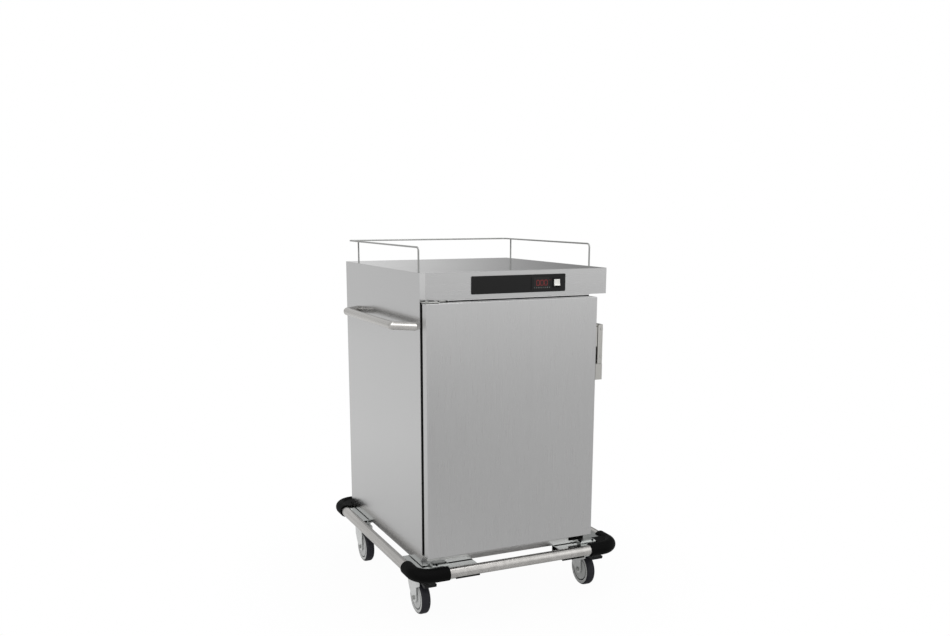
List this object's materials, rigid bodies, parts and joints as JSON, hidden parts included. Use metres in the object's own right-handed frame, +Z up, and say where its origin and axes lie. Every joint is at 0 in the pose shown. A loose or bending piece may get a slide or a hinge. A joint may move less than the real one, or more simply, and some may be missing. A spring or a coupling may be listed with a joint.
{
  "type": "heated banquet trolley",
  "caption": "Insulated stainless holding cabinet on swivel castors, with a hinged full-height door, edge latch, control hood, top gallery rail, side push handle and tubular bumper frame.",
  "frame": {"origin": "on the floor, under the middle of the overall box", "axes": "+Z up, -Y to the front where the door is, +X to the right as seen from the front"},
  "size_m": [0.8544, 0.984, 1.305],
  "materials": {
    "cabinet_steel": "fine brushed stainless sheet",
    "door_steel": "fine vertical brushed stainless sheet",
    "deck_steel": "brushed stainless sheet",
    "liner_steel": "smooth stainless sheet",
    "satin_tube": "satin ground stainless tube",
    "bracket_steel": "plain folded stainless sheet",
    "plain_steel": "plain steel",
    "dark_screw": "blackened screws",
    "zinc": "bright zinc plated pressed steel",
    "wheel_plastic": "grey moulded plastic",
    "tyre": "dark grey non-marking rubber",
    "pedal_plastic": "black moulded plastic",
    "bumper_rubber": "matt black rubber",
    "gasket_rubber": "black silicone seal",
    "panel_black": "black plate with a soft sheen",
    "black_plastic": "black moulded plastic",
    "display_red": "dark red display window",
    "rocker_white": "white moulded plastic",
    "heater_steel": "heat-tinted sheathed element",
    "mineral_wool": "mineral wool slab",
    "bush_bronze": "sintered bronze"
  },
  "bodies": {
    "cabinet": {"side_panel_left": "cabinet_steel", "side_panel_right": "cabinet_steel", "back_panel": "cabinet_steel", "base_pan": "deck_steel", "front_frame": "cabinet_steel", "inner_liner": "liner_steel", "insulation": "mineral_wool", "top_deck": "deck_steel", "hood_shell": "cabinet_steel", "hood_floor": "deck_steel", "control_plate": "panel_black", "display_window": "display_red", "controller_body": "black_plastic", "rocker_bezel": "black_plastic", "fan_motor": "plain_steel", "heater_element": "heater_steel", "air_baffle": "liner_steel", "water_pan": "liner_steel", "rack_left": "liner_steel", "rack_right": "liner_steel", "gallery_rail": "satin_tube", "push_handle": "satin_tube", "hinge_arm_top": "bracket_steel", "hinge_arm_bottom": "bracket_steel", "hinge_pins": "plain_steel", "hinge_screws": "dark_screw", "latch_strike": "cabinet_steel", "bumper_tubes": "satin_tube", "corner_bumpers": "bumper_rubber", "corner_brackets": "bracket_steel", "castor_plates": "zinc", "power_inlet": "black_plastic"},
    "door": {"door_outer": "door_steel", "door_inner": "door_steel", "door_insulation": "mineral_wool", "door_gasket": "gasket_rubber", "hinge_bushes": "bush_bronze", "latch_base": "cabinet_steel", "latch_pin": "plain_steel"},
    "latch_lever": {"latch_handle": "satin_tube"},
    "rocker": {"rocker_switch": "rocker_white"},
    "fan": {"fan_impeller": "plain_steel"},
    "castor_fl": {"castor_fork_fl": "zinc", "axle_bolt_fl": "zinc"},
    "wheel_fl": {"wheel_centre_fl": "wheel_plastic", "wheel_tyre_fl": "tyre"},
    "castor_fr": {"castor_fork_fr": "zinc", "axle_bolt_fr": "zinc"},
    "wheel_fr": {"wheel_centre_fr": "wheel_plastic", "wheel_tyre_fr": "tyre"},
    "castor_rl": {"castor_fork_rl": "zinc", "axle_bolt_rl": "zinc"},
    "wheel_rl": {"wheel_centre_rl": "wheel_plastic", "wheel_tyre_rl": "tyre"},
    "castor_rr": {"castor_fork_rr": "zinc", "axle_bolt_rr": "zinc"},
    "wheel_rr": {"wheel_centre_rr": "wheel_plastic", "wheel_tyre_rr": "tyre"},
    "brake_fl": {"brake_pedal_fl": "pedal_plastic"},
    "brake_fr": {"brake_pedal_fr": "pedal_plastic"}
  },
  "joints": [
    {"name": "door_hinge", "type": "hinge", "parent": "cabinet", "child": "door", "pos_m": [-0.34475, -0.44694, 0.685], "axis": [0, 0, -1], "range_deg": [0, 220]},
    {"name": "latch_pivot", "type": "hinge", "parent": "door", "child": "latch_lever", "pos_m": [0.31625, -0.4605, 0.955], "axis": [0, 0, 1], "range_deg": [0, 40], "stiffness_Nm_per_rad": 0.4, "springref_deg": -5.73},
    {"name": "rocker_pivot", "type": "hinge", "parent": "cabinet", "child": "rocker", "pos_m": [0.16025, -0.4085, 1.1737], "axis": [1, 0, 0], "range_deg": [0, 16]},
    {"name": "fan_spin", "type": "hinge", "parent": "cabinet", "child": "fan", "pos_m": [-0.02975, -0.0309, 1.075], "axis": [0, 0, 1], "continuous": true},
    {"name": "swivel_fl", "type": "hinge", "parent": "cabinet", "child": "castor_fl", "pos_m": [-0.33425, -0.2965, 0.15], "axis": [0, 0, 1], "continuous": true},
    {"name": "wheel_spin_fl", "type": "hinge", "parent": "castor_fl", "child": "wheel_fl", "pos_m": [-0.33425, -0.3365, 0.0625], "axis": [1, 0, 0], "continuous": true},
    {"name": "swivel_fr", "type": "hinge", "parent": "cabinet", "child": "castor_fr", "pos_m": [0.34475, -0.2965, 0.15], "axis": [0, 0, 1], "continuous": true},
    {"name": "wheel_spin_fr", "type": "hinge", "parent": "castor_fr", "child": "wheel_fr", "pos_m": [0.34475, -0.3365, 0.0625], "axis": [1, 0, 0], "continuous": true},
    {"name": "swivel_rl", "type": "hinge", "parent": "cabinet", "child": "castor_rl", "pos_m": [-0.34175, 0.291, 0.15], "axis": [0, 0, 1], "continuous": true},
    {"name": "wheel_spin_rl", "type": "hinge", "parent": "castor_rl", "child": "wheel_rl", "pos_m": [-0.34175, 0.251, 0.0625], "axis": [1, 0, 0], "continuous": true},
    {"name": "swivel_rr", "type": "hinge", "parent": "cabinet", "child": "castor_rr", "pos_m": [0.35225, 0.291, 0.15], "axis": [0, 0, 1], "continuous": true},
    {"name": "wheel_spin_rr", "type": "hinge", "parent": "castor_rr", "child": "wheel_rr", "pos_m": [0.35225, 0.251, 0.0625], "axis": [1, 0, 0], "continuous": true},
    {"name": "brake_fl", "type": "hinge", "parent": "castor_fl", "child": "brake_fl", "pos_m": [-0.33425, -0.3275, 0.138], "axis": [1, 0, 0], "range_deg": [0, 7]},
    {"name": "brake_fr", "type": "hinge", "parent": "castor_fr", "child": "brake_fr", "pos_m": [0.34475, -0.3275, 0.138], "axis": [1, 0, 0], "range_deg": [0, 7]}
  ]
}
